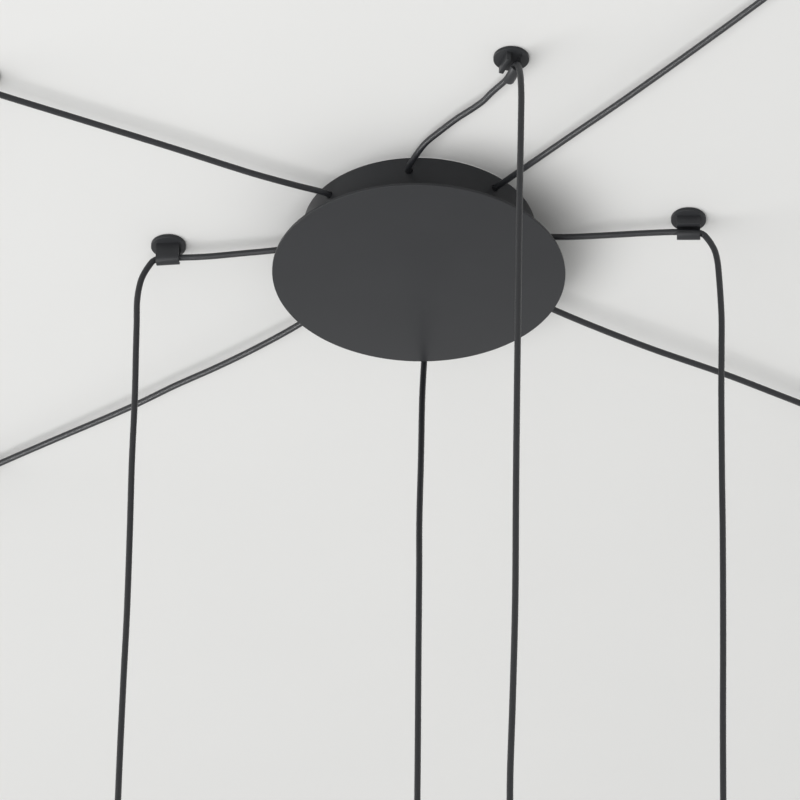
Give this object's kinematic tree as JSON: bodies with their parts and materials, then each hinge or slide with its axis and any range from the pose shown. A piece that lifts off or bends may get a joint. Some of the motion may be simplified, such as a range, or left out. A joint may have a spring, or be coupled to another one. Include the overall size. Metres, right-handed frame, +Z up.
{
  "type": "multi-light pendant light",
  "caption": "Multi-light pendant: a round ceiling canopy under a wider flat disc, with textile cords that run out along the ceiling over hooks and hang down to lampholders.",
  "frame": {"origin": "centre of the canopy's ceiling face, in the plane of the ceiling", "axes": "+Z up into the ceiling. The picture was taken from the -Y side, from below, with +X to the right"},
  "size_m": [0.9838, 0.9499, 1.0338],
  "materials": {
    "charcoal_powder_coat": "matte charcoal powder coat on steel",
    "cord_sheath": "dark grey woven textile sheath",
    "zinc_plated_steel": "zinc plated",
    "black_nylon": "matte moulded nylon",
    "terminal_plastic": "off-white moulded plastic",
    "grommet_rubber": "matte black rubber",
    "lampholder_plastic": "satin black moulded plastic"
  },
  "bodies": {
    "fixture": {"canopy_body": "charcoal_powder_coat", "ceiling_screw_1": "zinc_plated_steel", "ceiling_screw_2": "zinc_plated_steel", "ceiling_screw_3": "zinc_plated_steel", "magnet_1": "zinc_plated_steel", "magnet_2": "zinc_plated_steel", "magnet_3": "zinc_plated_steel", "live_terminals": "terminal_plastic", "neutral_terminals": "terminal_plastic", "earth_terminals": "terminal_plastic", "entry_grommet": "grommet_rubber", "cord_clamp_1": "black_nylon", "cord_clamp_2": "black_nylon", "cord_clamp_3": "black_nylon", "cord_clamp_4": "black_nylon", "cord_clamp_5": "black_nylon", "cord_clamp_6": "black_nylon", "cord_clamp_7": "black_nylon", "cord_clamp_8": "black_nylon", "cord_tail_1": "cord_sheath", "cord_tail_2": "cord_sheath", "cord_tail_3": "cord_sheath", "cord_tail_4": "cord_sheath", "cord_tail_5": "cord_sheath", "cord_tail_6": "cord_sheath", "cord_tail_7": "cord_sheath", "cord_tail_8": "cord_sheath", "cord_1": "cord_sheath", "cord_2": "cord_sheath", "cord_3": "cord_sheath", "cord_4": "cord_sheath", "cord_5": "cord_sheath", "cord_6": "cord_sheath", "cord_7": "cord_sheath", "cord_8": "cord_sheath", "hook_1": "charcoal_powder_coat", "hook_2": "charcoal_powder_coat", "hook_3": "charcoal_powder_coat", "hook_4": "charcoal_powder_coat", "hook_5": "charcoal_powder_coat", "hook_7": "charcoal_powder_coat", "hook_8": "charcoal_powder_coat", "lampholder_cap_1": "lampholder_plastic", "lampholder_cap_2": "lampholder_plastic", "lampholder_cap_3": "lampholder_plastic", "lampholder_cap_4": "lampholder_plastic", "lampholder_cap_5": "lampholder_plastic", "lampholder_cap_6": "lampholder_plastic", "lampholder_cap_7": "lampholder_plastic", "lampholder_cap_8": "lampholder_plastic", "lampholder_body_1": "lampholder_plastic", "lampholder_body_2": "lampholder_plastic", "lampholder_body_3": "lampholder_plastic", "lampholder_body_4": "lampholder_plastic", "lampholder_body_5": "lampholder_plastic", "lampholder_body_6": "lampholder_plastic", "lampholder_body_7": "lampholder_plastic", "lampholder_body_8": "lampholder_plastic"},
    "cover": {"cover_disc": "charcoal_powder_coat"}
  },
  "joints": [
    {"name": "cover_lift", "type": "slide", "parent": "fixture", "child": "cover", "axis": [0, 0, -1], "range_m": [0, 0.12]}
  ]
}
